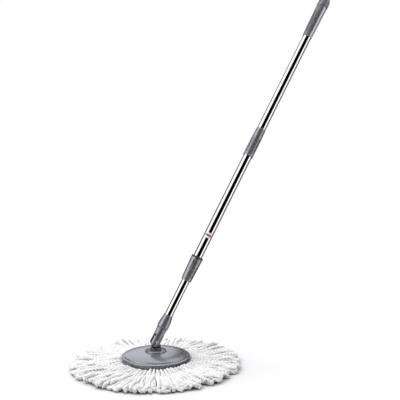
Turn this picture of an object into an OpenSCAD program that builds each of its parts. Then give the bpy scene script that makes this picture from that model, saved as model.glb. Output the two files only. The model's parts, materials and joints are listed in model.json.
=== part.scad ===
// Hand-press spin mop, standing on its spread yarn with the handle leaning over.
// Origin: on the floor under the middle of the mop plate. +Z is up, the handle
// leans towards +X, and the neck's hinge pin lies along Y. Millimetres.
// "s" is a distance along the handle, measured up from the hinge pin.

/* [Mop head] */
// Diameter of the mop plate
disc_d = 160; // [150:1:168]
// Height of the plate's edge above the floor
edge_z = 21; // [20:0.5:24]
// Rise of the plate's dome from its edge to the hub's seat
dome_rise = 11.5; // [10:0.5:14]
// Height of the plate's skirt
skirt_h = 8.5; // [7:0.5:9]
// Wall thickness of the moulded plate
disc_wall = 2.4; // [2:0.1:3]
// Diameter of the spread yarn
yarn_d = 398; // [360:1:410]
// Height of the spread yarn
yarn_h = 15.5; // [14.5:0.5:20]
// Diameter of the socket that sits on the wringer's spindle
spindle_d = 14; // [10:0.5:15]

/* [Hinge] */
// Height of the hinge pin above the floor
pivot_z = 55.5; // [54:0.5:60]
// Diameter of the hinge pin
pin_d = 5; // [4:0.5:6]
// Gap between the neck's two cheeks
fork_gap = 13; // [12:0.5:14]
// Width of the hub's upright lug
lug_w = 20.4; // [18:0.2:20.8]
// Lean of the handle from upright, in degrees
lean = 28.2; // [0:0.1:60]

/* [Tubes] */
// Outside diameter of the two outer tubes
outer_d = 22; // [22:0.1:22.4]
// Outside diameter of the inner tube
inner_d = 20; // [19.6:0.1:20]
// Wall thickness of the outer tubes
outer_wall = 0.4; // [0.3:0.05:0.45]
// Wall thickness of the inner tube
inner_wall = 0.5; // [0.4:0.05:0.6]

/* [Places along the handle] */
// Lower end of the ferrule
ferrule_s = 33.5; // [33:0.5:38]
// Upper end of the ferrule
ferrule_top_s = 66; // [64:0.5:70]
// Lower end of the lock collar
collar_s = 156; // [154:0.5:165]
// Middle of the label
label_s = 275.5; // [260:0.5:300]
// Lower end of the mid sleeve
sleeve_s = 492; // [488:0.5:494]
// Upper end of the mid sleeve
sleeve_top_s = 567.5; // [560:0.5:580]
// Lower end of the grip
grip_s = 831; // [800:0.5:840]
// Joint between the grip and the hanging cap
cap_s = 920; // [900:0.5:925]

/* [Spin drive] */
// Length of the strip's one full turn
pitch = 100; // [90:5:140]
// Width of the twisted strip
strip_w = 8; // [7:0.5:9]
// Thickness of the twisted strip
strip_t = 2; // [1.6:0.1:2.2]

/* [Hanging hole] */
// Diameter of the cross hole in the cap
hang_d = 9; // [7:0.5:10]

/* [Hidden] */
$fn = 96;
eps = 0.02;
clear = 0.3;
snug = 0.05;
run = 0.08;
grey = [0.45, 0.46, 0.50];
dark_grey = [0.20, 0.20, 0.22];
steel = [0.78, 0.79, 0.80];
white = [0.94, 0.94, 0.93];

// Mop head
disc_r = disc_d / 2;
skirt_z = edge_z - skirt_h;
seat_z = edge_z + dome_rise;
ring_in = 22;
ring_w = 2.4;
ring_h = 2.6;
boss_r = spindle_d / 2 + 3;
boss_z = edge_z - 5.5;
socket_deep = seat_z - disc_wall - boss_z;
clip_wall_r = 64;
clip_wall_t = 2;
clip_wall_z = edge_z - 8.3;
rib_z = edge_z - 1.5;
rim_r = disc_r - 6.5;
rim_over = 1.8;
refill_r = clip_wall_r - clear;
refill_in = 48;
refill_z = edge_z - 11.5;
refill_h = 8.4;
nub_angle = 9;
nub_z = edge_z - 6.1;
band_z = edge_z - 13.7;
band_t = 2;
yarn_in = 28;
yarn_floor_r = yarn_d / 2 - 8;
yarn_under_z = edge_z - 14;
hole_x = 21.5;
hole_y = -17;

// Hub and hinge
foot_r = ring_in - clear;
foot_h = 3;
stem_r = 13;
lug_top_r = 8;
screw_x = 17.5;
screw_r = 1.5;
screw_head_r = 3;
washer_t = 0.8;
lug_t = fork_gap - 2 * washer_t - 0.2;

// Neck and ferrule
neck_r = 12.25;
cheek_y = 11.3;
face_r = 4.6;
slot_s = 9;
neck_lip_s = ferrule_s - 4.8;
neck_top_s = ferrule_s + 12;
spigot_r = 11.7;
bell_r = 14.4;
tube_s = 10.6;
plug_top_s = 30;
neck_screw_s = 13.2;
neck_screw_turn = 211;
neck_head_r = 2.9;

// Inner tube and clutch
inner_r = inner_d / 2;
inner_bore = inner_r - inner_wall;
tube_top_s = 412;
seat_s = 380;
tooth_s = 395;
tooth_h = 1.4;
teeth = 8;
nut_h = 5.4;
nut_r = inner_bore - 0.5;
nut_s = tooth_s + tooth_h + clear;
nut_body_s = nut_s + tooth_h;
clutch_cap_s = nut_body_s + nut_h + clear;
rod_hole_r = 5.2;
groove_r = 8.4;
groove_h = 8;
cap_flange_h = 3;

// Outer tubes and what they hold
outer_r = outer_d / 2;
outer_bore = outer_r - outer_wall;
lower_end_s = collar_s + 30;
joint_s = 528;
joint_rib = 4;
upper_end_s = cap_s - 20;
rod_s = 200;
rod_top_s = 523;
anchor_s = 512;
anchor_pin_s = 518;
stud_r = 5;
stud_top_s = 547;
joint_plug_top_s = 556;

// Lock
guide_r = 11.6;
guide_s = collar_s + 12;
sleeve_wall_r = 12.6;
flange_s = collar_s + 59.5;
flange_h = 4;
collet_r = 11.3;
collar_top_r = 14.5;
collar_low_r = 12.7;
lock_turn = 90;
tab_turn = 12;
tab_s = collar_s + 26;
mark_h = 26;
mark_w = 2.6;

// Sleeve, grip and cap
sleeve_r = 12.5;
grip_low_r = 12.1;
grip_top_r = 13.7;
cap_r = 14.4;
cap_top_s = cap_s + 28;
hang_s = cap_s + 14.5;
flare_deep = 7;

// Height of the plate's top face at radius r
function dome_z(r) = edge_z + 1.2 + (dome_rise - 1.9) * (1 - pow(r / disc_r, 4.5));

// Places children on the leaning handle: their Z runs up along it from the hinge.
module on_handle() {
    translate([0, 0, pivot_z]) rotate([0, lean, 0]) children();
}

// A straight tube or ring from height a to height b
module ring(r_out, r_in, a, b) {
    translate([0, 0, a]) difference() {
        cylinder(r = r_out, h = b - a);
        translate([0, 0, -eps]) cylinder(r = r_in, h = b - a + 2 * eps);
    }
}

// A round bar from height a to height b
module bar(r, a, b) {
    translate([0, 0, a]) cylinder(r = r, h = b - a);
}

// Long shallow grooves round a tapered body, r_a at height a and r_b at height b
module grooves(count, width, depth, r_a, a, r_b, b, from = 0, to = 360) {
    slope = atan((r_b - r_a) / (b - a));
    for (i = [0 : count - 1])
        rotate([0, 0, from + (to - from) * (i + 0.5) / count])
            translate([r_a, 0, a])
                rotate([0, slope, 0])
                    translate([-depth, -width / 2, 0])
                        cube([2 * depth, width, (b - a) / cos(slope)]);
}

// One turning sector, from angle zero
module sector(r_out, r_in, a, b, angle) {
    translate([0, 0, a])
        rotate_extrude(angle = angle)
            translate([r_in, 0])
                square([r_out - r_in, b - a]);
}

// The twisted strip's section, swept from height a to height b along its helix
module strip(width, thick, a, b, steps) {
    translate([0, 0, a])
        rotate([0, 0, 360 * (a - nut_body_s) / pitch])
            linear_extrude(height = b - a, twist = -360 * (b - a) / pitch, slices = steps,
                segments = 8)
                square([width, thick], center = true);
}

// Ratchet teeth that stand on height z or hang from it, their steep sides facing each other
module ratchet(z, r_out, r_in, hanging) {
    intersection() {
        ring(r_out, r_in, z - tooth_h, z + tooth_h);
        for (i = [0 : teeth - 1])
            rotate([0, 0, 360 * i / teeth])
                translate([0, 0, z])
                    rotate([hanging ? 180 : 0, 0, 0])
                        rotate([90, 0, 90])
                            linear_extrude(height = r_out + 1)
                                polygon([[0, -0.5], [5.6, -0.5], [5.6, 0], [0, tooth_h]]);
    }
}

module yarn() {
    outer = yarn_d / 2;
    color(white)
        rotate_extrude()
            polygon([
                [yarn_in, 0], [yarn_floor_r, 0], [outer - 3, 3], [outer, 7],
                [outer - 3, 11], [outer - 12, yarn_h - 1.5], [outer - 40, yarn_h],
                [disc_r + 30, yarn_h], [disc_r + 10, yarn_h - 1], [disc_r + 1, yarn_h - 3],
                [disc_r + 0.8, skirt_z - 1.2], [clip_wall_r + 8, yarn_under_z + 4],
                [clip_wall_r + 3, yarn_under_z + 2.5], [clip_wall_r, yarn_under_z],
                [yarn_in + 4, yarn_under_z], [yarn_in, yarn_under_z - 3.5]
            ]);
}

module stitch_band() {
    color(white) ring(60, 42, band_z, band_z + band_t);
}

module refill_ring() {
    lip_t = 2;
    color(grey) difference() {
        union() {
            ring(refill_r, refill_in, refill_z, refill_z + lip_t);
            ring(refill_r, refill_r - lip_t, refill_z, refill_z + refill_h);
            ring(refill_in + lip_t, refill_in, refill_z, refill_z + refill_h);
            for (i = [0 : 11])
                rotate([0, 0, 30 * i])
                    translate([refill_in + 1, -0.8, refill_z])
                        cube([refill_r - refill_in - 2, 1.6, refill_h - 2]);
        }
        for (i = [0 : 5])
            rotate([0, 0, 60 * i + 15])
                translate([56, 0, refill_z - 1])
                    cylinder(d = 3, h = lip_t + 2);
    }
    color(grey)
        for (i = [0 : 5])
            rotate([0, 0, 60 * i - nub_angle / 2])
                sector(clip_wall_r + 0.9, refill_r - 1, nub_z, nub_z + 2, nub_angle);
}

module disc() {
    dome = [for (r = [ring_in + ring_w + 1 : 4 : rim_r]) [r, dome_z(r)]];
    dome_under = [
        for (r = [rim_r - 1.5 : -4 : boss_r + 2]) [r, dome_z(max(r, ring_in + 3)) - disc_wall]
    ];
    ring_top = seat_z + ring_h;
    skirt_r = disc_r - rim_over;
    color(grey) difference() {
        union() {
            rotate_extrude()
                polygon(concat(
                    [[0, seat_z], [ring_in, seat_z], [ring_in, ring_top - 0.4],
                    [ring_in + 0.4, ring_top], [ring_in + 0.8, ring_top],
                    [ring_in + 1.7, ring_top - 0.5], [ring_in + 2.2, ring_top - 1.2],
                    [ring_in + ring_w, ring_top - 2.1], [ring_in + ring_w + 0.2, dome_z(ring_in)]],
                    dome,
                    [[rim_r + 0.9, edge_z + 2.3], [disc_r - 2.6, edge_z + 1.8],
                    [disc_r - 1, edge_z + 1], [disc_r - 0.2, edge_z + 0.3],
                    [disc_r, edge_z - 0.4], [disc_r - 0.3, edge_z - 1.2],
                    [skirt_r, edge_z - 1.9], [skirt_r, skirt_z + 0.6],
                    [skirt_r - 0.6, skirt_z], [skirt_r - disc_wall, skirt_z],
                    [skirt_r - disc_wall, edge_z - 2.2], [rim_r + 0.2, edge_z - 0.4]],
                    dome_under,
                    [[0, seat_z - disc_wall - 0.6]]
                ));
            bar(boss_r, boss_z, seat_z - 1);
            ring(clip_wall_r + clip_wall_t, clip_wall_r, clip_wall_z,
                dome_z(clip_wall_r + clip_wall_t) - 1);
            for (i = [0 : 7])
                rotate([90, 0, 45 * i + 22.5])
                    translate([0, 0, -1])
                        linear_extrude(height = 2)
                            polygon(concat(
                                [[boss_r - 1, rib_z], [clip_wall_r + 0.5, rib_z]],
                                [for (r = [clip_wall_r + 0.5 : -6 : boss_r])
                                    [r, dome_z(max(r, ring_in + 3)) - 1]]
                            ));
        }
        bar(spindle_d / 2, boss_z - 1, boss_z + socket_deep);
        for (i = [0 : 5])
            rotate([0, 0, 60 * i - nub_angle / 2 - 1])
                sector(clip_wall_r + clip_wall_t + 1, clip_wall_r - 1, clip_wall_z - 1,
                    nub_z + 2 + clear, nub_angle + 2);
        for (side = [-1, 1]) {
            translate([side * screw_x, 0, seat_z - 8]) cylinder(r = screw_r, h = 10);
            translate([side * hole_x, side * hole_y, rib_z]) cylinder(d = 3, h = dome_rise + 4);
        }
    }
}

module hub() {
    foot_z = seat_z + eps;
    foot_top = foot_z + foot_h;
    stem_top = max(pivot_z - 14.5, foot_top + 2.2);
    lug_side_z = pivot_z - 9;
    color(grey) difference() {
        union() {
            rotate_extrude()
                polygon([
                    [0, foot_z], [foot_r, foot_z], [foot_r, foot_top - 1.2],
                    [foot_r - 1.2, foot_top], [stem_r + 0.6, foot_top],
                    [stem_r, foot_top + 0.6], [stem_r, stem_top - 1.6],
                    [stem_r - 0.7, stem_top - 0.5], [stem_r - 2, stem_top], [0, stem_top]
                ]);
            translate([0, lug_t / 2, 0]) rotate([90, 0, 0])
                linear_extrude(height = lug_t)
                    polygon(concat(
                        [[lug_w / 2, foot_top - 0.5], [lug_w / 2, lug_side_z]],
                        [for (a = [10 : 10 : 170])
                            [lug_top_r * cos(a), pivot_z + lug_top_r * sin(a)]],
                        [[-lug_w / 2, lug_side_z], [-lug_w / 2, foot_top - 0.5]]
                    ));
        }
        translate([0, lug_t, pivot_z]) rotate([90, 0, 0])
            cylinder(r = pin_d / 2 + 0.06, h = 2 * lug_t);
        for (side = [-1, 1]) {
            translate([side * screw_x, 0, foot_z - 1])
                cylinder(r = screw_r + eps, h = foot_h + 2);
            translate([side * screw_x, 0, foot_top - 1.6])
                cylinder(r = screw_head_r + 0.2, h = 4);
        }
    }
}

module hub_screws() {
    head_z = seat_z + eps + foot_h - 1.55;
    color(dark_grey)
        for (side = [-1, 1])
            translate([side * screw_x, 0, 0]) difference() {
                union() {
                    bar(screw_r - eps, seat_z - 7, head_z + 0.5);
                    bar(screw_head_r, head_z, head_z + 1.5);
                }
                for (turn = [0, 90])
                    rotate([0, 0, turn])
                        translate([-1.8, -0.35, head_z + 0.8])
                            cube([3.6, 0.7, 1]);
            }
}

module pivot_pin() {
    color(steel) on_handle() rotate([90, 0, 0]) difference() {
        union() {
            bar(pin_d / 2, -cheek_y - 2.6, cheek_y + 0.5);
            bar(pin_d / 2 + 1.3, cheek_y + eps, cheek_y + 1.3);
        }
        ring(pin_d / 2 + 1, pin_d / 2 - 0.7, -cheek_y - 1.5, -cheek_y - 0.6);
    }
}

module pin_clip() {
    color(dark_grey) on_handle() rotate([90, 0, 0]) difference() {
        ring(pin_d / 2 + 2, pin_d / 2 - 0.65, -cheek_y - 1.45, -cheek_y - 0.65);
        translate([-1.5, 0, -cheek_y - 2]) cube([3, 8, 2]);
    }
}

module thrust_washers() {
    color(white) on_handle()
        for (side = [-1, 1])
            translate([0, side * (fork_gap / 2 - washer_t / 2 - snug), 0])
                rotate([90, 0, 0])
                    ring(7, pin_d / 2 + run, -washer_t / 2, washer_t / 2);
}

module neck() {
    color(grey) on_handle() difference() {
        union() {
            intersection() {
                bar(neck_r, -neck_r, 1);
                translate([0, neck_r, 0]) rotate([90, 0, 0]) cylinder(r = neck_r, h = 2 * neck_r);
            }
            rotate_extrude()
                polygon([
                    [0, 0], [neck_r, 0], [neck_r, neck_lip_s],
                    [neck_r + 0.7, neck_lip_s + 0.6], [neck_r + 0.7, ferrule_s - 1.8],
                    [neck_r + 0.3, ferrule_s - 1.3], [spigot_r, ferrule_s - 1.2],
                    [spigot_r, neck_top_s], [0, neck_top_s]
                ]);
        }
        translate([-neck_r - 1, -fork_gap / 2, -neck_r - 1])
            cube([2 * neck_r + 2, fork_gap, neck_r + 1 + slot_s]);
        translate([0, neck_r, 0]) rotate([90, 0, 0])
            cylinder(d = pin_d + 2 * eps, h = 2 * neck_r);
        for (side = [-1, 1])
            rotate([90 * side, 0, 0]) bar(face_r, cheek_y, neck_r + 1);
        bar(inner_r + snug, tube_s, neck_top_s + 1);
        rotate([0, 0, neck_screw_turn]) translate([0, 0, neck_screw_s]) rotate([0, 90, 0]) {
            translate([0, 0, inner_r - 4]) cylinder(r = 1.5 + eps, h = 8);
            translate([0, 0, neck_r - 1.4]) cylinder(r = neck_head_r + 0.2, h = 3);
        }
    }
}

module neck_screw() {
    color(dark_grey) on_handle()
        rotate([0, 0, neck_screw_turn]) translate([0, 0, neck_screw_s]) rotate([0, 90, 0])
            difference() {
                union() {
                    bar(1.5, inner_r - 6, neck_r - 0.6);
                    bar(neck_head_r, neck_r - 1.35, neck_r - 0.35);
                }
                translate([-1.5, -0.3, neck_r - 0.9]) cube([3, 0.6, 1]);
            }
}

module tube_plug() {
    color(dark_grey) on_handle() difference() {
        bar(inner_bore - snug, tube_s + 0.4, plug_top_s);
        rotate([0, 0, neck_screw_turn]) translate([0, 0, neck_screw_s]) rotate([0, 90, 0])
            bar(1.5 + eps, inner_r - 6.5, inner_r + 1);
    }
}

module ferrule() {
    color(grey) on_handle() difference() {
        rotate_extrude()
            polygon([
                [inner_r + run, ferrule_s], [bell_r - 1.8, ferrule_s],
                [bell_r - 0.3, ferrule_s + 2.4], [bell_r, ferrule_s + 3.2],
                [bell_r, ferrule_s + 4.6], [bell_r - 0.5, ferrule_s + 11],
                [bell_r - 1.2, ferrule_s + 19], [inner_r + 1.6, ferrule_top_s - 3.5],
                [inner_r + 1.3, ferrule_top_s - 1], [inner_r + 0.9, ferrule_top_s],
                [inner_r + run, ferrule_top_s]
            ]);
        bar(spigot_r + 0.06, ferrule_s - 1, neck_top_s + 0.3);
    }
}

module inner_tube() {
    color(steel) on_handle() difference() {
        ring(inner_r, inner_bore, tube_s + 0.1, tube_top_s);
        rotate([0, 0, neck_screw_turn]) translate([0, 0, neck_screw_s]) rotate([0, 90, 0])
            bar(1.5 + eps, inner_bore - 3, inner_r + 1);
    }
}

module clutch_seat() {
    color(dark_grey) on_handle() {
        ring(inner_bore - snug, rod_hole_r, seat_s, tooth_s);
        ratchet(tooth_s, inner_bore - 0.6, rod_hole_r + 0.4, false);
    }
}

module drive_nut() {
    color(steel) on_handle() difference() {
        union() {
            ring(nut_r, 1, nut_body_s, nut_body_s + nut_h);
            ratchet(nut_body_s, nut_r, rod_hole_r + 0.4, true);
        }
        strip(strip_w + 0.7, strip_t + 0.8, nut_s - 1, nut_body_s + nut_h + 1, 8);
    }
}

module clutch_cap() {
    top_s = tube_top_s + groove_h;
    color(dark_grey) on_handle() difference() {
        union() {
            bar(inner_bore - snug, clutch_cap_s, tube_top_s);
            bar(groove_r, tube_top_s - 1, top_s + 1);
            rotate_extrude()
                polygon([
                    [0, top_s], [inner_r, top_s], [inner_r, top_s + cap_flange_h - 1],
                    [inner_r - 1, top_s + cap_flange_h], [0, top_s + cap_flange_h]
                ]);
        }
        bar(rod_hole_r, clutch_cap_s - 1, top_s + cap_flange_h + 1);
    }
}

module glide_ring() {
    color(white) on_handle() difference() {
        ring(outer_bore - run, groove_r + run, tube_top_s + 0.3, tube_top_s + groove_h - 0.3);
        translate([0, -1, tube_top_s]) cube([20, 2, groove_h]);
    }
}

module lower_tube() {
    color(steel) on_handle() ring(outer_r, outer_bore, lower_end_s, joint_s - joint_rib / 2);
}

module lock_body() {
    color(dark_grey) on_handle() difference() {
        union() {
            ring(guide_r, inner_r + run, guide_s, lower_end_s);
            ring(sleeve_wall_r, outer_r + snug, lower_end_s - eps, flange_s + 1);
            ring(sleeve_wall_r, guide_r - 1, lower_end_s - 1.5, lower_end_s);
            rotate_extrude()
                polygon([
                    [outer_r + snug, flange_s], [collar_top_r + 0.3, flange_s],
                    [collar_top_r + 0.5, flange_s + 0.8], [collar_top_r, flange_s + flange_h - 0.6],
                    [collar_top_r - 1.2, flange_s + flange_h], [outer_r + snug, flange_s + flange_h]
                ]);
            rotate([0, 0, -tab_turn / 2])
                sector(sleeve_wall_r, guide_r - 1, tab_s, lower_end_s - 1, tab_turn);
        }
        rotate([0, 0, 180]) translate([guide_r - 1, -0.8, guide_s - 1]) cube([3, 1.6, 8]);
    }
}

module grip_collet() {
    color(white) on_handle() difference() {
        ring(collet_r, inner_r + run, collar_s + 3.6, guide_s - 0.3);
        translate([0, -1, collar_s]) cube([20, 2, 20]);
    }
}

module lock_collar() {
    top_s = flange_s - clear;
    color(grey) on_handle() difference() {
        rotate_extrude()
            polygon([
                [inner_r + 0.5, collar_s], [collar_low_r - 1.4, collar_s],
                [collar_low_r - 0.5, collar_s + 0.8], [collar_low_r, collar_s + 2.2],
                [collar_low_r + 0.3, collar_s + 7], [collar_top_r - 0.5, collar_s + 36],
                [collar_top_r, top_s - 1], [collar_top_r, top_s],
                [sleeve_wall_r + 0.35, top_s], [sleeve_wall_r + 0.35, lower_end_s - 2],
                [guide_r + clear, lower_end_s - 2], [guide_r + clear, collar_s + 3.2],
                [inner_r + 0.5, collar_s + 3.2]
            ]);
        rotate([0, 0, -tab_turn / 2 - 1 - lock_turn])
            sector(sleeve_wall_r + 0.3, guide_r, tab_s - 0.4, lower_end_s, lock_turn + tab_turn + 2);
        rotate([0, 0, 234])
            translate([collar_top_r - 1.05, -mark_w / 2, top_s - mark_h - 5])
                cube([4, mark_w, mark_h]);
        grooves(14, 0.7, 0.35, collar_low_r + 0.55, collar_s + 9, collar_top_r - 0.5,
            collar_s + 36, from = 262, to = 352);
        grooves(14, 0.7, 0.35, collar_low_r + 0.55, collar_s + 9, collar_top_r - 0.5,
            collar_s + 36, from = 82, to = 172);
    }
}

module label() {
    angle = 78;
    color(white) on_handle()
        rotate([0, 0, 251 - angle / 2])
            sector(outer_r + 0.2, outer_r + 0.04, label_s - 7, label_s + 7, angle);
}

module mid_sleeve() {
    color(grey) on_handle() difference() {
        rotate_extrude()
            polygon([
                [outer_r + snug, sleeve_s], [sleeve_r + 0.2, sleeve_s],
                [sleeve_r + 0.4, sleeve_s + 1], [sleeve_r + 0.4, sleeve_s + 2.5],
                [sleeve_r, sleeve_s + 3.5], [sleeve_r, sleeve_top_s - 24],
                [sleeve_r - 0.5, sleeve_top_s - 6], [sleeve_r - 0.8, sleeve_top_s - 1],
                [sleeve_r - 1.1, sleeve_top_s], [outer_r + snug, sleeve_top_s],
                [outer_r + snug, joint_s + joint_rib / 2], [outer_bore - 1, joint_s + joint_rib / 2],
                [outer_bore - 1, joint_s - joint_rib / 2], [outer_r + snug, joint_s - joint_rib / 2]
            ]);
        grooves(36, 0.8, 0.35, sleeve_r, sleeve_s + 9, sleeve_r, sleeve_top_s - 28);
    }
}

module spiral_rod() {
    color(steel) on_handle() difference() {
        strip(strip_w, strip_t, rod_s, rod_top_s, 232);
        translate([0, 0, anchor_pin_s]) rotate([0, 0, 360 * (anchor_pin_s - nut_body_s) / pitch])
            rotate([90, 0, 0]) translate([0, 0, -10]) cylinder(r = 1.5 + eps, h = 20);
    }
}

module rod_anchor() {
    color(dark_grey) on_handle() difference() {
        union() {
            bar(outer_bore - snug, anchor_s, joint_s - joint_rib / 2);
            bar(outer_bore - 1.1, anchor_s, joint_s + joint_rib / 2 - 0.2);
            bar(stud_r, anchor_s, stud_top_s);
        }
        strip(strip_w + 0.6, strip_t + 0.6, anchor_s - 1, rod_top_s + 0.5, 8);
        translate([0, 0, anchor_pin_s]) rotate([0, 0, 360 * (anchor_pin_s - nut_body_s) / pitch])
            rotate([90, 0, 0]) translate([0, 0, -15]) cylinder(r = 1.5 + eps, h = 30);
    }
}

module anchor_pin() {
    color(steel) on_handle()
        translate([0, 0, anchor_pin_s]) rotate([0, 0, 360 * (anchor_pin_s - nut_body_s) / pitch])
            rotate([90, 0, 0]) translate([0, 0, 0.3 - outer_bore])
                cylinder(r = 1.5, h = 2 * outer_bore - 0.6);
}

module joint_plug() {
    color(dark_grey) on_handle() difference() {
        bar(outer_bore - snug, joint_s + joint_rib / 2 + 0.2, joint_plug_top_s);
        bar(stud_r + snug, joint_s, stud_top_s + 1);
    }
}

module upper_tube() {
    color(steel) on_handle() ring(outer_r, outer_bore, joint_s + joint_rib / 2, upper_end_s);
}

module grip() {
    color(grey) on_handle() difference() {
        rotate_extrude()
            polygon([
                [outer_r + snug, grip_s], [grip_low_r - 0.7, grip_s], [grip_low_r, grip_s + 1.2],
                [grip_low_r + 0.35, grip_s + 16], [grip_top_r - 0.35, cap_s - 20],
                [grip_top_r, cap_s - 2], [grip_top_r - 0.4, cap_s], [outer_r + snug, cap_s]
            ]);
        grooves(16, 1.1, 0.4, grip_low_r + 0.35, grip_s + 12, grip_top_r - 0.35, cap_s - 20,
            from = 92, to = 268);
    }
}

module hang_cap() {
    color(grey) on_handle() difference() {
        rotate_extrude()
            polygon(concat(
                [[0, upper_end_s + 1], [outer_r - 1.2, upper_end_s + 1],
                [outer_r, upper_end_s + 3], [outer_r, cap_s + 0.1], [cap_r - 0.5, cap_s + 0.1],
                [cap_r, cap_s + 0.8], [cap_r, cap_s + 8]],
                [for (a = [0 : 10 : 90]) [
                    cap_r - 8 + 7.6 * cos(a), cap_top_s - 15 + 15 * sin(a)
                ]],
                [[0, cap_top_s]]
            ));
        translate([-30, 0, hang_s]) rotate([0, 90, 0]) cylinder(d = hang_d, h = 60);
        for (side = [-1, 1])
            translate([side * (cap_r + 1), 0, hang_s]) rotate([0, -90 * side, 0])
                cylinder(r1 = hang_d / 2 + 4.4, r2 = hang_d / 2 - eps, h = flare_deep);
    }
}

yarn();
stitch_band();
refill_ring();
disc();
hub();
hub_screws();
pivot_pin();
pin_clip();
thrust_washers();
neck();
neck_screw();
tube_plug();
ferrule();
inner_tube();
clutch_seat();
clutch_cap();
drive_nut();
glide_ring();
lower_tube();
lock_body();
grip_collet();
lock_collar();
label();
mid_sleeve();
spiral_rod();
rod_anchor();
anchor_pin();
joint_plug();
upper_tube();
grip();
hang_cap();
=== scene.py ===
"""A spin mop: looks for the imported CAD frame, in metres, in the frame's own coordinates.

The CAD nodes keep their shapes and get procedural materials. The yarn's plain solid is replaced by
looped, twisted cords. A plain floor, a soft studio and one camera go round it.
"""

import json
import math

import bpy
import numpy as np
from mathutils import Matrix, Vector


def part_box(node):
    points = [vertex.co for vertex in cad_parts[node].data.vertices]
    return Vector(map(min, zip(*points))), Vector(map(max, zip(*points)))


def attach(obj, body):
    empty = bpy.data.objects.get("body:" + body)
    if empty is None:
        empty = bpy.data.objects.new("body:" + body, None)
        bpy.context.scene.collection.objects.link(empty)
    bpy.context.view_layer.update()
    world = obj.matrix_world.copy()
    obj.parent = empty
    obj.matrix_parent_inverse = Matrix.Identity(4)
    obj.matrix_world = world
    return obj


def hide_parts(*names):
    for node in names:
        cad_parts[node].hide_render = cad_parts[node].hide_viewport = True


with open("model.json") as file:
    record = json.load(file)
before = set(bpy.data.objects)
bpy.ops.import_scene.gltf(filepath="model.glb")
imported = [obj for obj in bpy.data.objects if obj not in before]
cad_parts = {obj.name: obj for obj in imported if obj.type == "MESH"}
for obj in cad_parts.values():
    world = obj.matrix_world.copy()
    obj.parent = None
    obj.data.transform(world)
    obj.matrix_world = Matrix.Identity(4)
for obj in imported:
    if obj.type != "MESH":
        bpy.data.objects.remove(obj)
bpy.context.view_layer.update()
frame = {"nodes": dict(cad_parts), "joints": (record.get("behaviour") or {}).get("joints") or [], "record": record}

MM = 0.001
SEED = 7

joints = {j["name"]: j for j in frame["joints"]}
PIVOT = Vector(joints["neck_tilt"]["pos_m"])
HANDLE = Vector(joints["handle_press"]["axis"]).normalized()
LEAN = math.atan2(HANDLE.x, HANDLE.z)

# Camera: where it stands on the floor plan, and which way it looks
CAMERA_AT = Vector((-0.3588, -1.3469, 0.4376))
CAMERA_HEADING = math.radians(19.17)
CAMERA_DOWN = math.radians(2.16)
CAMERA_LENS = 54
CAMERA_SENSOR = 36

# The collar's mark: how far round the handle it is
MARK_TURN = math.radians(234)

# The grip's smooth and ribbed sides: how light each is beside the other grey parts, raised on the smooth side as a
# painted highlight and lowered on the ribbed side as painted shade
SMOOTH_HIGHLIGHT_LEVEL = 1.75
RIBBED_SHADE_LEVEL = 0.76

# Yarn: twisted two-ply cords, folded into long loops
PLY_R = 2.1 * MM
PLY_OFFSET = 1.6 * MM
PLY_PITCH = 15 * MM
PLY_SIDES = 7
RING_STEP = 2 * MM
SWELL = 0.12
ANY_PHASE = 6.28
LEG_GAP = 8 * MM
YARN_R = 199 * MM
TIP_SPREAD = 16 * MM
LOOPS = 44

# Radii that the cords' heights and bends refer to: under the plate's skirt, at its rim, and where they
# begin to open out towards their tips
UNDER_SKIRT_R = 72 * MM
RIM_R = 80 * MM
OPEN_R = 110 * MM

# Layers of loops, from the floor up: name, radius where they start, then the height of the cords
# under the plate, just outside it and near their tips, and the most that they bulge up at its skirt
LAYERS = (
    ("yarn_floor", 33 * MM, 3.2 * MM, 3.6 * MM, 3.6 * MM, 0),
    ("yarn_low", 40 * MM, 4.2 * MM, 5.5 * MM, 4.4 * MM, 0),
    ("yarn_middle", 46 * MM, 5.2 * MM, 7.5 * MM, 5.6 * MM, 0),
    ("yarn_high", 51 * MM, 6.1 * MM, 9.4 * MM, 7.4 * MM, 1.5 * MM),
    ("yarn_top", 56 * MM, 6.8 * MM, 11.2 * MM, 9.4 * MM, 4.2 * MM),
)


# ---------------------------------------------------------------- node materials

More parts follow.
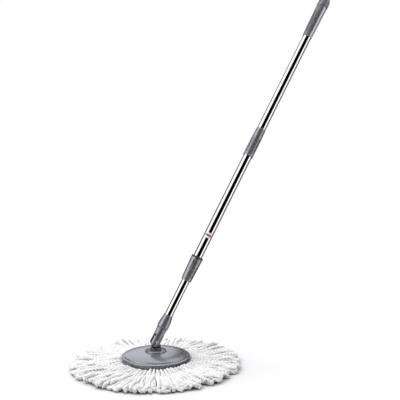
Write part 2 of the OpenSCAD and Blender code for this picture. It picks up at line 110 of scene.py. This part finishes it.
class Nodes:
    """A short way to build one node tree."""

    def __init__(self, tree):
        self.tree = tree

    def add(self, kind, inputs=None, **settings):
        node = self.tree.nodes.new(kind)
        for key, value in settings.items():
            setattr(node, key, value)
        for key, value in (inputs or {}).items():
            self.plug(value, node.inputs[key])
        return node

    def plug(self, value, socket):
        if isinstance(value, bpy.types.NodeSocket):
            self.tree.links.new(value, socket)
        else:
            socket.default_value = value

    def math(self, operation, *values):
        node = self.add("ShaderNodeMath", operation=operation)
        for value, socket in zip(values, node.inputs):
            self.plug(value, socket)
        return node.outputs[0]

    def dot(self, vector, direction):
        node = self.add("ShaderNodeVectorMath", operation="DOT_PRODUCT")
        self.plug(vector, node.inputs[0])
        node.inputs[1].default_value = direction
        return node.outputs["Value"]

    def noise(self, vector, scale, detail=2.0, roughness=0.5):
        node = self.add("ShaderNodeTexNoise", {"Vector": vector, "Scale": scale, "Detail": detail,
                                               "Roughness": roughness})
        return node.outputs["Fac"]

    def span(self, value, low, high, to_low, to_high):
        node = self.add("ShaderNodeMapRange", {"Value": value, "From Min": low, "From Max": high,
                                               "To Min": to_low, "To Max": to_high})
        return node.outputs["Result"]

    def mix(self, factor, a, b):
        node = self.add("ShaderNodeMix", data_type="RGBA")
        self.plug(factor, node.inputs["Factor"])
        self.plug(a, node.inputs["A"])
        self.plug(b, node.inputs["B"])
        return node.outputs["Result"]

    def stretched(self, vector, scale):
        return self.add("ShaderNodeMapping", {"Vector": vector, "Scale": scale}).outputs["Vector"]

    def bump(self, height, strength, distance, normal=None):
        node = self.add("ShaderNodeBump", {"Height": height, "Strength": strength, "Distance": distance})
        if normal is not None:
            self.plug(normal, node.inputs["Normal"])
        return node.outputs["Normal"]

    def painted_crease_shade(self, reach, darkest, clear=0.85):
        """A factor that falls from 1 to darkest in narrow gaps and corners: painted shade where it darkens a
        colour.
        """
        node = self.add("ShaderNodeAmbientOcclusion", {"Distance": reach}, samples=12)
        return self.span(node.outputs["AO"], 0.25, clear, darkest, 1)

    def scaled(self, colour, factor):
        node = self.add("ShaderNodeVectorMath", {0: colour}, operation="SCALE")
        self.plug(factor, node.inputs["Scale"])
        return node.outputs["Vector"]

    def rounded(self, radius):
        return self.add("ShaderNodeBevel", {"Radius": radius}, samples=6).outputs["Normal"]


def rgba(r, g, b):
    return (r, g, b, 1.0)


def new_material(name):
    """(material, its Nodes, its shader, the object coordinates)."""
    made = bpy.data.materials.new(name)
    made.use_nodes = True
    nodes = Nodes(made.node_tree)
    place = nodes.add("ShaderNodeTexCoord").outputs["Object"]
    return made, nodes, made.node_tree.nodes["Principled BSDF"], place


def along_handle(nodes, place):
    """The object coordinates turned so that Z runs along the handle from the hinge pin."""
    cos, sin = math.cos(LEAN), math.sin(LEAN)
    shift = (-(cos * PIVOT.x - sin * PIVOT.z), 0, -(sin * PIVOT.x + cos * PIVOT.z))
    return nodes.add("ShaderNodeMapping", {"Vector": place, "Rotation": (0, -LEAN, 0),
                                           "Location": shift}).outputs["Vector"]


def plastic(name, colour, rough, metallic=0.0, reach=14 * MM, darkest=0.2, clear=0.85):
    """Moulded plastic: a fine moulded grain, faint scuffs, softly rounded edges, and painted shade that darkens
    its creases.

    Some metallic gives the silvery flake of the grey parts.
    """
    made, nodes, shader, place = new_material(name)
    cloud = nodes.noise(place, 60, 4)
    scuff = nodes.noise(nodes.stretched(place, (900, 900, 140)), 1, 3)
    pits = nodes.noise(place, 2600, 2)
    darker = tuple(level * 0.86 for level in colour)
    lighter = tuple(level * 1.12 for level in colour)
    tone = nodes.mix(cloud, rgba(*darker), rgba(*lighter))
    # Painted shade: the base colour darkens in creases and narrow gaps.
    nodes.plug(nodes.scaled(tone, nodes.painted_crease_shade(reach, darkest, clear)), shader.inputs["Base Color"])
    base = nodes.span(cloud, 0.3, 0.7, rough - 0.05, rough + 0.06)
    nodes.plug(nodes.math("MULTIPLY_ADD", scuff, 0.1, base), shader.inputs["Roughness"])
    nodes.plug(nodes.bump(pits, 0.05, 0.05 * MM, nodes.rounded(0.35 * MM)), shader.inputs["Normal"])
    shader.inputs["IOR"].default_value = 1.5
    shader.inputs["Metallic"].default_value = metallic
    return made


def height_on_handle(node_name):
    """How far up the handle from the hinge pin the middle of a node is."""
    low, high = (Vector(corner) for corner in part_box(node_name))
    return ((low + high) / 2 - PIVOT).dot(HANDLE)


def reopened(made):
    """(its Nodes, its shader, the handle's coordinates) of a material made by plastic()."""
    nodes = Nodes(made.node_tree)
    place = nodes.add("ShaderNodeTexCoord").outputs["Object"]
    return nodes, made.node_tree.nodes["Principled BSDF"], along_handle(nodes, place)


def marked_plastic(name, colour, rough, metallic):
    """The collar's plastic, with painted shade as a dark line and a painted highlight as a light line in its long
    recessed mark.
    """
    made = plastic(name, colour, rough, metallic)
    nodes, shader, handle = reopened(made)
    plain = shader.inputs["Base Color"].links[0].from_socket
    height = nodes.add("ShaderNodeSeparateXYZ", {"Vector": handle}).outputs["Z"]
    flat = nodes.add("ShaderNodeVectorMath", {0: handle, 1: (1, 1, 0)},
                     operation="MULTIPLY").outputs["Vector"]
    across = nodes.dot(handle, (-math.sin(MARK_TURN), math.cos(MARK_TURN), 0))
    # Painted shade fills the mark's recess as a dark line, and a painted highlight runs along its lit side as a
    # light line.
    lit_side = nodes.span(across, 0.6 * MM, 0.75 * MM, 0, 1)
    mark_shade_and_highlight = nodes.mix(lit_side, rgba(0.015, 0.015, 0.017), rgba(0.95, 0.95, 0.97))
    radius = nodes.add("ShaderNodeVectorMath", {0: flat}, operation="LENGTH").outputs["Value"]
    deep = nodes.span(radius, 13.5 * MM, 13.65 * MM, 1, 0)
    above = nodes.math("GREATER_THAN", height, height_on_handle("lock_collar") - 1.5 * MM)
    painted = nodes.math("MULTIPLY", deep, above)
    nodes.plug(nodes.mix(painted, plain, mark_shade_and_highlight), shader.inputs["Base Color"])
    return made


def grip_plastic(name, colour, rough, metallic):
    """The grip's plastic: rougher on its ribbed side, with its colour lowered there as painted shade and raised on
    its smooth side as a painted highlight.
    """
    made = plastic(name, colour, rough, metallic)
    nodes, shader, handle = reopened(made)
    plain = shader.inputs["Base Color"].links[0].from_socket
    smooth_rough = shader.inputs["Roughness"].links[0].from_socket
    ribbed = nodes.span(nodes.dot(handle, (-1, 0, 0)), -0.5 * MM, 0.5 * MM, 0, 1)
    # The colour is raised on the smooth side as a painted highlight and lowered on the ribbed side as painted
    # shade.
    level = nodes.span(ribbed, 0, 1, SMOOTH_HIGHLIGHT_LEVEL, RIBBED_SHADE_LEVEL)
    nodes.plug(nodes.scaled(plain, level), shader.inputs["Base Color"])
    nodes.plug(nodes.math("MULTIPLY_ADD", ribbed, 0.3, smooth_rough), shader.inputs["Roughness"])
    return made


def label_film(name):
    """White film with one red stripe round it."""
    made, nodes, shader, place = new_material(name)
    height = nodes.add("ShaderNodeSeparateXYZ", {"Vector": along_handle(nodes, place)}).outputs["Z"]
    off = nodes.math("ABSOLUTE", nodes.math("SUBTRACT", height, height_on_handle("label")))
    stripe = nodes.span(off, 1.8 * MM, 2.1 * MM, 1, 0)
    paper = nodes.mix(nodes.noise(place, 400, 3), rgba(0.8, 0.74, 0.75), rgba(0.88, 0.84, 0.84))
    nodes.plug(nodes.mix(stripe, paper, rgba(0.42, 0.03, 0.04)), shader.inputs["Base Color"])
    nodes.plug(nodes.span(nodes.noise(place, 900, 3), 0.3, 0.7, 0.22, 0.34), shader.inputs["Roughness"])
    nodes.plug(nodes.bump(stripe, 0.3, 0.02 * MM, nodes.rounded(0.1 * MM)), shader.inputs["Normal"])
    return made


def polished_tube(name):
    """Polished steel tube: near-mirror, with faint drawing lines along it."""
    made, nodes, shader, place = new_material(name)
    handle = along_handle(nodes, place)
    lines = nodes.noise(nodes.stretched(handle, (3000, 3000, 6)), 1, 2)
    haze = nodes.noise(nodes.stretched(handle, (40, 40, 12)), 1, 3)
    nodes.plug(nodes.mix(haze, rgba(0.72, 0.73, 0.75), rgba(0.84, 0.85, 0.86)), shader.inputs["Base Color"])
    nodes.plug(nodes.span(haze, 0.3, 0.7, 0.03, 0.06), shader.inputs["Roughness"])
    nodes.plug(nodes.bump(lines, 0.04, 0.01 * MM), shader.inputs["Normal"])
    shader.inputs["Metallic"].default_value = 1.0
    return made


def metal(name, colour, rough):
    """Plain machined or drawn metal."""
    made, nodes, shader, place = new_material(name)
    lines = nodes.noise(nodes.stretched(place, (300, 300, 4000)), 1, 3)
    cloud = nodes.noise(place, 150, 3)
    darker = tuple(level * 0.8 for level in colour)
    nodes.plug(nodes.mix(cloud, rgba(*darker), rgba(*colour)), shader.inputs["Base Color"])
    nodes.plug(nodes.span(lines, 0.3, 0.7, rough - 0.06, rough + 0.08), shader.inputs["Roughness"])
    nodes.plug(nodes.bump(lines, 0.1, 0.02 * MM, nodes.rounded(0.2 * MM)), shader.inputs["Normal"])
    shader.inputs["Metallic"].default_value = 1.0
    return made


def yarn_cloth(name):
    """White microfibre: matt, with a soft sheen and fine fibres."""
    made, nodes, shader, place = new_material(name)
    cloud = nodes.noise(place, 90, 3)
    fibres = nodes.noise(place, 1800, 4, 0.65)
    white = nodes.mix(cloud, rgba(0.76, 0.76, 0.765), rgba(0.82, 0.82, 0.815))
    nodes.plug(white, shader.inputs["Base Color"])
    nodes.plug(nodes.span(fibres, 0.3, 0.7, 0.8, 1.0), shader.inputs["Roughness"])
    nodes.plug(nodes.bump(fibres, 0.6, 0.5 * MM), shader.inputs["Normal"])
    shader.inputs["Subsurface Weight"].default_value = 0.35
    shader.inputs["Subsurface Radius"].default_value = (1, 1, 1)
    shader.inputs["Subsurface Scale"].default_value = 4 * MM
    shader.inputs["Sheen Weight"].default_value = 0.25
    shader.inputs["Sheen Roughness"].default_value = 0.5
    shader.inputs["Specular IOR Level"].default_value = 0.2
    return made


# ---------------------------------------------------------------- yarn

def rise_over(value, start, length):
    """0 up to start, 1 from start + length, and a smooth rise between."""
    x = np.clip((value - start) / length, 0, 1)
    return x * x * (3 - 2 * x)


def resample(points, step):
    """Points at an even step along a polyline."""
    legs = np.linalg.norm(np.diff(points, axis=0), axis=1)
    at = np.concatenate([[0], np.cumsum(legs)])
    count = max(8, int(round(at[-1] / step)))
    wanted = np.linspace(0, at[-1], count)
    return np.stack([np.interp(wanted, at, points[:, i]) for i in range(3)], 1)


def frames_along(points):
    """Side and up vectors along a path that is never vertical for long."""
    tangent = np.gradient(points, axis=0)
    tangent /= np.linalg.norm(tangent, axis=1)[:, None]
    normal = np.cross(tangent[0], (0, 0, 1.0))
    normal /= np.linalg.norm(normal)
    sides = [normal]
    for t in tangent[1:]:
        normal = normal - t * (normal @ t)
        normal /= np.linalg.norm(normal)
        sides.append(normal)
    sides = np.array(sides)
    return sides, np.cross(tangent, sides)


def tube(points, radii, sides):
    """(vertices, faces) of a closed tube along points."""
    side, up = frames_along(points)
    turn = np.arange(sides) * 2 * math.pi / sides
    ring = np.cos(turn)[None, :, None] * side[:, None, :] + np.sin(turn)[None, :, None] * up[:, None, :]
    verts = (points[:, None, :] + ring * radii[:, None, None]).reshape(-1, 3)
    count = len(points)
    i = np.arange(count - 1)[:, None] * sides
    j = np.arange(sides)[None, :]
    k = (j + 1) % sides
    quads = np.stack([i + j, i + k, i + k + sides, i + j + sides], -1).reshape(-1, 4)
    first_end = list(range(sides))[::-1]
    last_end = list(range((count - 1) * sides, count * sides))
    return verts, quads.tolist() + [first_end, last_end]


def loop_path(rng, angle, start_r, z_in, z_mid, z_out, bulge):
    """Middle line of one hairpin of cord: out along one leg, round its tip and back."""
    tip_r = YARN_R - PLY_R - PLY_OFFSET - rng.uniform(0, 1) ** 1.5 * TIP_SPREAD
    z_tip = z_out + rng.uniform(-1, 2.2) * MM + rng.choice((0, 0, 0, 3.5)) * MM * rng.uniform(0.4, 1)
    drift = rng.normal(0, 0.022)
    wave = rng.normal(0, 0.010)
    phase = rng.uniform(0, ANY_PHASE)
    roll = rng.uniform(0, ANY_PHASE)
    twist = rng.uniform(-2.2, 2.2)
    tip_width = LEG_GAP * rng.uniform(1.1, 1.9)
    turn_len = tip_width / 2
    out = np.linspace(0, 1, 90)
    r = start_r + (tip_r - turn_len - start_r) * out
    bend = drift * rise_over(r, RIM_R, 110 * MM)
    bend += wave * rise_over(r, RIM_R, 40 * MM) * np.sin(phase + out * 9)
    height = z_in + (z_mid - z_in) * rise_over(r, UNDER_SKIRT_R, 16 * MM)
    at_skirt = rise_over(r, RIM_R - 1.5 * MM, 8 * MM) * (1 - rise_over(r, RIM_R + 10 * MM, 22 * MM))
    height += bulge * rng.uniform(0, 1) * at_skirt
    height += (z_tip - z_mid) * rise_over(r, OPEN_R, 80 * MM)
    height += 1.2 * MM * np.sin(roll + out * 14) * rise_over(r, RIM_R + 10 * MM, 30 * MM)
    gap = LEG_GAP / 2 + (tip_width - LEG_GAP) / 2 * rise_over(r, OPEN_R + 30 * MM, 40 * MM)
    gap = gap * (0.5 + 0.5 * rise_over(r, start_r, RIM_R - start_r))
    spin = twist * rise_over(r, OPEN_R, 80 * MM)
    legs = []
    for way in (1, -1):
        across = way * gap * np.cos(spin)
        rise = way * gap * np.sin(spin) * 0.6
        a = angle + bend
        x = r * np.cos(a) - across * np.sin(a)
        y = r * np.sin(a) + across * np.cos(a)
        legs.append(np.stack([x, y, height + rise], 1))
    first, second = legs
    middle = (first[-1] + second[-1]) / 2
    half = (first[-1] - second[-1]) / 2
    ahead = np.array([math.cos(angle + bend[-1]), math.sin(angle + bend[-1]), 0])
    turn = np.linspace(0, math.pi, 14)[1:-1, None]
    cap = middle + np.cos(turn) * half + np.sin(turn) * ahead * turn_len
    return np.concatenate([first, cap, second[::-1]])


def cord(rng, path):
    """The two plies of a cord that follows path."""
    points = resample(path, RING_STEP)
    radius = np.hypot(points[:, 0], points[:, 1])
    thick = 0.5 + 0.32 * rise_over(radius, 30 * MM, 50 * MM) + 0.18 * rise_over(radius, 90 * MM, 60 * MM)
    thick += 0.12 * rise_over(radius, 150 * MM, 30 * MM)
    floor_gap = (PLY_R * (1 + SWELL + 0.08) + PLY_OFFSET) * thick
    points[:, 2] = np.maximum(points[:, 2], floor_gap)
    side, up = frames_along(points)
    at = np.arange(len(points)) * RING_STEP
    phase = rng.uniform(0, ANY_PHASE) + at / PLY_PITCH * 2 * math.pi
    swell = 1 + SWELL * np.sin(at / (11 * MM) + rng.uniform(0, ANY_PHASE)) + rng.normal(0, 0.03, len(at))
    parts = []
    for half_turn in (0, math.pi):
        offset = np.cos(phase + half_turn)[:, None] * side + np.sin(phase + half_turn)[:, None] * up
        line = points + offset * (PLY_OFFSET * thick)[:, None]
        parts.append(tube(line, PLY_R * thick * swell, PLY_SIDES))
    return parts


def mesh_object(name, parts, material):
    verts, faces = [], []
    for part_verts, part_faces in parts:
        base = len(verts)
        verts += part_verts.tolist()
        faces += [[base + corner for corner in face] for face in part_faces]
    mesh = bpy.data.meshes.new(name)
    mesh.from_pydata(verts, [], faces)
    mesh.shade_smooth()
    mesh.materials.append(material)
    made = bpy.data.objects.new(name, mesh)
    bpy.context.scene.collection.objects.link(made)
    return made


def make_yarn(material):
    rng = np.random.default_rng(SEED)
    for layer, (name, *heights) in enumerate(LAYERS):
        parts = []
        for i in range(LOOPS):
            angle = (i + layer * 0.38 + rng.normal(0, 0.12)) * 2 * math.pi / LOOPS
            parts += cord(rng, loop_path(rng, angle, *heights))
        loops = mesh_object(name, parts, material)
        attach(loops, "refill")
        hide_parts("yarn")


# ---------------------------------------------------------------- studio

# The cards round the handle, as stops: the angle round it in degrees, where 0 faces the camera and plus is
# to the right, and the brightness
CARDS = ((-180, 0.03), (-103, 0.03), (-96, 1.2), (-80, 1.2), (-76, 1.9), (-56, 1.9), (-52, 1.2),
         (-36, 1.2), (-32, 0.0), (48, 0.0), (52, 1.3), (86, 1.3), (92, 0.15), (180, 0.15))
PANEL = (1.14, 1.14, 1.19)
HANDLE_CARD = (1.2, 1.2, 1.2)
ZENITH_CARD = (2.0, 2.0, 2.0)
FLOOR_NEAR = (0.73, 0.725, 0.745)
FLOOR_FAR = (0.99, 0.99, 0.99)
FLOOR_REACH = 4.0
LAMP_AT = Vector((-0.7, 0.8, 1.5))
LAMP_SIZE = (1.2, 0.9)
LAMP_WATTS = 20


def make_camera():
    data = bpy.data.cameras.new("studio_camera")
    data.lens = CAMERA_LENS
    data.sensor_width = CAMERA_SENSOR
    data.clip_start = 0.05
    made = bpy.data.objects.new("studio_camera", data)
    bpy.context.scene.collection.objects.link(made)
    level = math.cos(CAMERA_DOWN)
    forward = Vector((math.sin(CAMERA_HEADING) * level, math.cos(CAMERA_HEADING) * level,
                      -math.sin(CAMERA_DOWN)))
    made.location = CAMERA_AT
    made.rotation_mode = "QUATERNION"
    made.rotation_quaternion = forward.to_track_quat("-Z", "Y")
    bpy.context.scene.camera = made


def make_world():
    """Bright cards all round the handle, a dark flag in front of it and grey ones behind it.

    A panel behind the mop lights the plate's left half, and there are cards up the handle and overhead.
    """
    world = bpy.data.worlds.new("studio")
    bpy.context.scene.world = world
    world.use_nodes = True
    nodes = Nodes(world.node_tree)
    direction = nodes.add("ShaderNodeTexCoord").outputs["Generated"]
    to_camera = CAMERA_AT - PIVOT
    front = (to_camera - HANDLE * to_camera.dot(HANDLE)).normalized()
    side = HANDLE.cross(front)
    angle = nodes.math("ARCTAN2", nodes.dot(direction, side), nodes.dot(direction, front))
    ramp = nodes.add("ShaderNodeValToRGB", {"Fac": nodes.span(angle, -math.pi, math.pi, 0, 1)})
    elements = ramp.color_ramp.elements
    elements[0].color = rgba(*[CARDS[0][1]] * 3)
    elements[1].color = rgba(*[CARDS[-1][1]] * 3)
    for degrees, level in CARDS[1:-1]:
        elements.new((degrees + 180) / 360).color = rgba(level, level, level)
    right = (math.cos(CAMERA_HEADING), -math.sin(CAMERA_HEADING), 0)
    upward = nodes.span(nodes.dot(direction, (0, 0, 1)), 0.10, 0.2, 0, 1)
    leftward = nodes.math("MULTIPLY", nodes.span(nodes.dot(direction, right), -0.02, 0.06, 1, 0),
                          nodes.span(nodes.dot(direction, right), -0.5, -0.4, 0, 1))
    behind = nodes.span(nodes.dot(direction, -front), 0.3, 0.5, 0, 1)
    panel = nodes.math("MULTIPLY", nodes.math("MULTIPLY", upward, leftward), behind)
    cards = nodes.mix(panel, ramp.outputs["Color"], rgba(*PANEL))
    up_handle = nodes.span(nodes.dot(direction, HANDLE), 0.64, 0.78, 0, 1)
    cards = nodes.mix(up_handle, cards, rgba(*HANDLE_CARD))
    zenith = nodes.span(nodes.dot(direction, (0, 0, 1)), 0.93, 0.95, 0, 1)
    cards = nodes.mix(zenith, cards, rgba(*ZENITH_CARD))
    seen = nodes.add("ShaderNodeLightPath").outputs["Is Camera Ray"]
    colour = nodes.mix(seen, cards, rgba(1, 1, 1))
    background = world.node_tree.nodes["Background"]
    nodes.plug(colour, background.inputs["Color"])


def make_floor():
    mesh = bpy.data.meshes.new("floor")
    corners = [(x * FLOOR_REACH, y * FLOOR_REACH, 0) for x, y in ((-1, -1), (1, -1), (1, 1), (-1, 1))]
    mesh.from_pydata(corners, [], [(0, 1, 2, 3)])
    made, nodes, shader, place = new_material("floor_white")
    distance = nodes.add("ShaderNodeVectorMath", {0: place}, operation="LENGTH").outputs["Value"]
    far = nodes.span(nodes.math("MULTIPLY_ADD", nodes.noise(place, 3), 0.2, distance), 0.3, 1.2, 0, 1)
    tone = nodes.mix(far, rgba(*FLOOR_NEAR), rgba(*FLOOR_FAR))
    # Painted contact shadow: the floor's colour darkens close to the mop and anything else standing on it.
    nodes.plug(nodes.scaled(tone, nodes.painted_crease_shade(150 * MM, 0.6, 1)), shader.inputs["Base Color"])
    shader.inputs["Roughness"].default_value = 0.9
    shader.inputs["Specular IOR Level"].default_value = 0.0
    mesh.materials.append(made)
    floor = bpy.data.objects.new("floor", mesh)
    bpy.context.scene.collection.objects.link(floor)
    floor.visible_glossy = False


def make_lamp():
    data = bpy.data.lights.new("key_softbox", "AREA")
    data.shape = "RECTANGLE"
    data.size, data.size_y = LAMP_SIZE
    data.energy = LAMP_WATTS
    made = bpy.data.objects.new("key_softbox", data)
    made.location = LAMP_AT
    made.visible_glossy = False
    made.rotation_mode = "QUATERNION"
    made.rotation_quaternion = (-LAMP_AT).to_track_quat("-Z", "Y")
    bpy.context.scene.collection.objects.link(made)


# ---------------------------------------------------------------- making

# The grey plastic, a darker copy of it on the hub as painted shade, a darker grey on the cap, and how metallic its
# flake is
GREY = (0.305, 0.31, 0.34)
CAP_GREY = (0.25, 0.253, 0.275)
HUB_SHADE_GREY = (0.17, 0.172, 0.19)
FLAKE = 0.68


def finish_nodes():
    """Gives each CAD node its material, by the record's material slots."""
    finishes = {
        "plastic_grey": plastic("plastic_grey", GREY, 0.2, FLAKE),
        "plastic_dark": plastic("plastic_dark", (0.045, 0.045, 0.05), 0.5),
        "nylon": plastic("nylon", (0.8, 0.8, 0.77), 0.4),
        "label_film": label_film("label_film"),
        "band_white": yarn_cloth("band_white"),
        "yarn_white": yarn_cloth("yarn_white"),
        "tube_chrome": polished_tube("tube_chrome"),
        "steel": metal("steel", (0.6, 0.6, 0.61), 0.3),
        "screw_dark": metal("screw_dark", (0.02, 0.02, 0.022), 0.5),
    }
    own = {
        "lock_collar": marked_plastic("collar_grey", GREY, 0.2, FLAKE),
        # The hub's grey is darkened as painted shade, and its creases get deeper painted shade.
        "hub": plastic("hub_painted_shade_grey", HUB_SHADE_GREY, 0.2, FLAKE, 26 * MM, 0.08, 0.95),
        "grip": grip_plastic("grip_grey", GREY, 0.2, FLAKE),
        # The cap's creases get deeper painted shade.
        "hang_cap": plastic("cap_grey", CAP_GREY, 0.4, FLAKE, 26 * MM, 0.08, 0.95),
    }
    for part in frame["record"]["subparts"]:
        node = frame["nodes"][part["node"]]
        node.data.materials.clear()
        node.data.materials.append(own.get(part["node"], finishes[part["material_slot"]]))
    return finishes


finishes = finish_nodes()
make_yarn(finishes["yarn_white"])
make_camera()
make_world()
make_floor()
make_lamp()
bpy.context.scene.view_settings.view_transform = "Standard"
